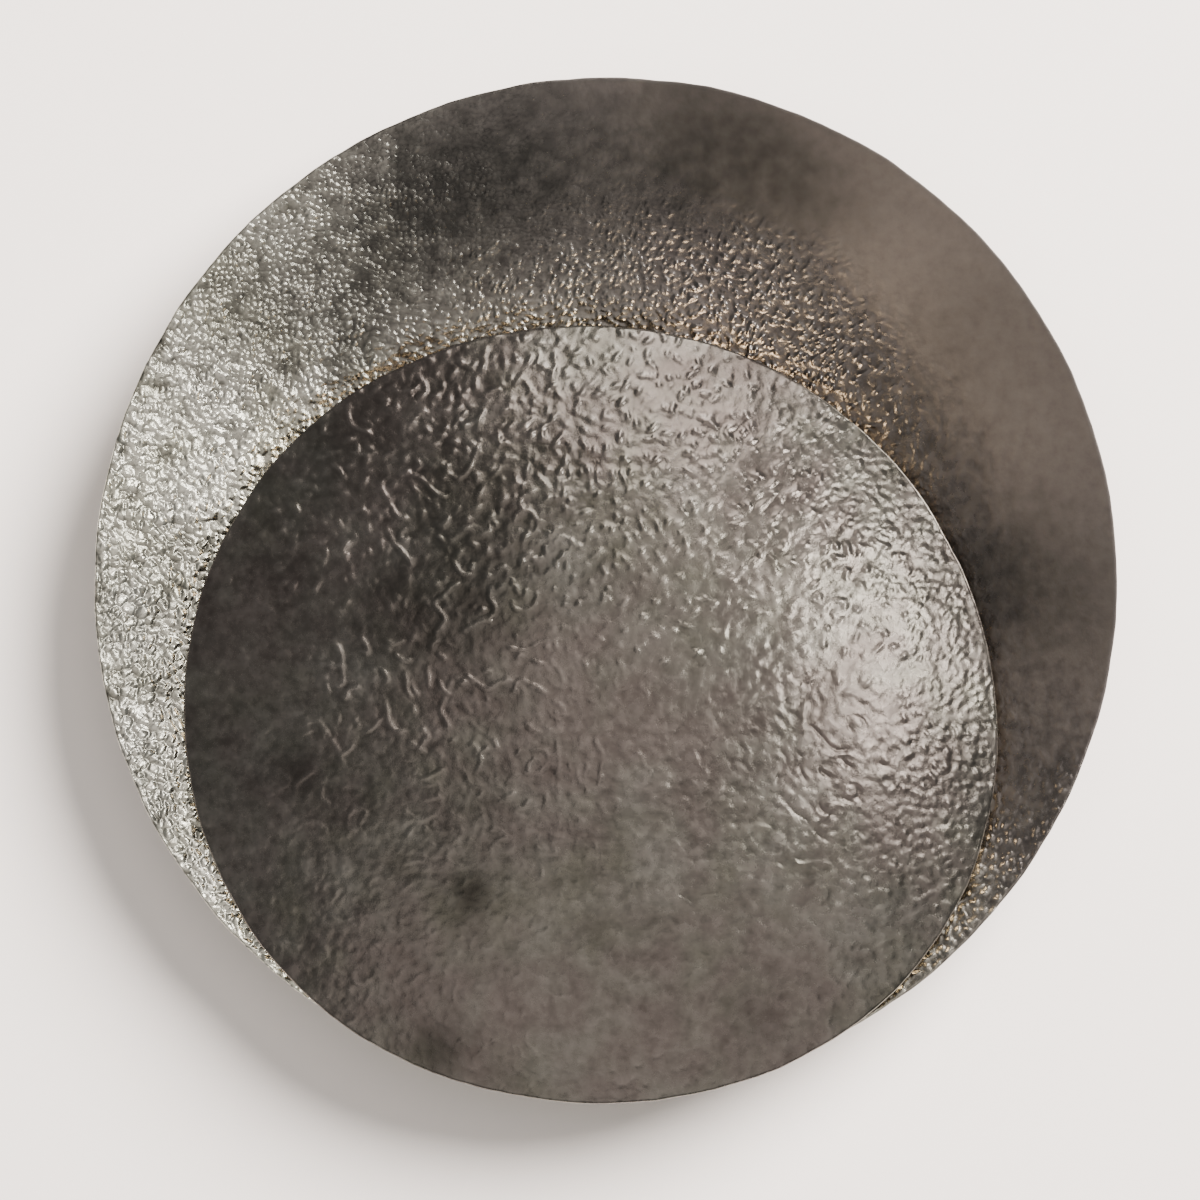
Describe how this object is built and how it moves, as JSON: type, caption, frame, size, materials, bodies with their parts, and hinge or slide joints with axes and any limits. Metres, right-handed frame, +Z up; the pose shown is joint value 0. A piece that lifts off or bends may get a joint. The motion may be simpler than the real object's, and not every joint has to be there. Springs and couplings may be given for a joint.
{
  "type": "wall light",
  "caption": "Wall light of two overlapping hammered metal plates: a dished reflector fixed to the wall and a domed front plate that hides capsule lamps.",
  "frame": {"origin": "centre of the wall plate's back face, in the plane of the wall", "axes": "+X to the right and +Z up for someone facing the light, +Y into the wall"},
  "size_m": [0.4616, 0.082, 0.4627],
  "materials": {
    "silver_bronze": "hammered, patinated",
    "taupe_bronze": "hammered, patinated",
    "dark_metal": "satin",
    "zinc": "satin",
    "black_steel": "satin",
    "brass": "satin",
    "rubber": "matt",
    "nylon": "matt",
    "ceramic": "satin",
    "frosted_glass": "frosted",
    "lamp_core": "emissive",
    "wire_sleeve": "matt",
    "earth_wire": "matt"
  },
  "bodies": {
    "fixture": {"wall_plate": "zinc", "cable_grommet": "rubber", "weld_stud_left": "zinc", "weld_stud_right": "zinc", "terminal_block": "nylon", "terminal_screw_1": "brass", "terminal_screw_2": "brass", "terminal_screw_3": "brass", "block_screw": "zinc", "earth_ring": "brass", "earth_screw": "zinc", "earth_wire": "earth_wire", "canopy": "dark_metal", "back_plate": "silver_bronze", "lead_grommet": "rubber", "washer_left": "brass", "washer_right": "brass", "cap_nut_left": "brass", "cap_nut_right": "brass", "lamp_bracket": "zinc", "bracket_screw_left": "zinc", "bracket_screw_right": "zinc", "bracket_nut_left": "zinc", "bracket_nut_right": "zinc", "lamp_holder_left": "ceramic", "lamp_holder_right": "ceramic", "holder_screw_left": "zinc", "holder_screw_right": "zinc", "holder_nut_left": "zinc", "holder_nut_right": "zinc", "lead_line_left": "wire_sleeve", "lead_line_right": "wire_sleeve", "lead_neutral_left": "wire_sleeve", "lead_neutral_right": "wire_sleeve", "plate_socket_right": "zinc", "plate_socket_left": "zinc", "plate_socket_lower": "zinc", "grub_screw_right": "black_steel", "grub_screw_left": "black_steel", "grub_screw_lower": "black_steel"},
    "front_cover": {"front_plate": "taupe_bronze", "plate_peg_right": "brass", "plate_peg_left": "brass", "plate_peg_lower": "brass"},
    "lamp_left": {"lamp_base_left": "ceramic", "lamp_glass_left": "frosted_glass", "lamp_core_left": "lamp_core", "lamp_pin_left_rear": "zinc", "lamp_pin_left_front": "zinc"},
    "lamp_right": {"lamp_base_right": "ceramic", "lamp_glass_right": "frosted_glass", "lamp_core_right": "lamp_core", "lamp_pin_right_rear": "zinc", "lamp_pin_right_front": "zinc"}
  },
  "joints": [
    {"name": "front_cover_pull", "type": "slide", "parent": "fixture", "child": "front_cover", "axis": [0, -1, 0], "range_m": [0, 0.016]},
    {"name": "lamp_left_pull", "type": "slide", "parent": "fixture", "child": "lamp_left", "axis": [-1, 0, 0], "range_m": [0, 0.009]},
    {"name": "lamp_right_pull", "type": "slide", "parent": "fixture", "child": "lamp_right", "axis": [1, 0, 0], "range_m": [0, 0.009]}
  ]
}
